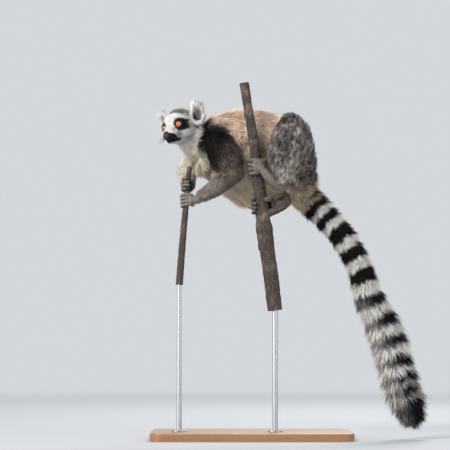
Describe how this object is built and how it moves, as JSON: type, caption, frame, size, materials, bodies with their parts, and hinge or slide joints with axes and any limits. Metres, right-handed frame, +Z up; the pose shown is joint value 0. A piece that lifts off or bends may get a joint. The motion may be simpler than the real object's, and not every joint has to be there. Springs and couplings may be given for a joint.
{
  "type": "life-size ring-tailed lemur figure on a stem",
  "caption": "Life-size still figure of a ring-tailed lemur that clings to a cut stem and reaches for a twig, with its banded tail hanging, on a plain display stand.",
  "frame": {"origin": "centre of the underside of the display base", "axes": "+Z up, +X from the lemur's head towards its tail, +Y away from the side that the lemur shows"},
  "size_m": [0.6017, 0.28, 0.7825],
  "materials": {
    "fur_white": "dense white fur",
    "fur_grey": "grey-brown fur with pale ticks",
    "fur_rufous": "rufous-brown woolly fur",
    "fur_black": "black fur",
    "skin_black": "black hand, foot and muzzle skin, matt",
    "eye_orange": "wet amber-orange eye with a black pupil",
    "bark": "weathered grey-brown bark",
    "stand_wood": "satin varnished",
    "stand_metal": "brushed"
  },
  "bodies": {
    "root": {"abdomen": "fur_rufous", "chest": "fur_rufous", "ear_left": "fur_white", "ear_right": "fur_white", "eye_left": "eye_orange", "eye_right": "eye_orange", "foot_left": "skin_black", "foot_right": "skin_black", "forearm_left": "fur_grey", "forearm_right": "fur_grey", "hand_left": "skin_black", "hand_right": "skin_black", "head": "fur_white", "neck": "fur_grey", "perch_stem": "bark", "perch_twig": "bark", "shank_left": "fur_grey", "shank_right": "fur_grey", "stand_base": "stand_wood", "stand_rod_stem": "stand_metal", "stand_rod_twig": "stand_metal", "tail_1": "fur_rufous", "tail_2": "fur_black", "tail_3": "fur_white", "tail_4": "fur_black", "tail_5": "fur_white", "tail_6": "fur_black", "thigh_left": "fur_grey", "thigh_right": "fur_grey", "upper_arm_left": "fur_grey", "upper_arm_right": "fur_grey"}
  },
  "joints": []
}
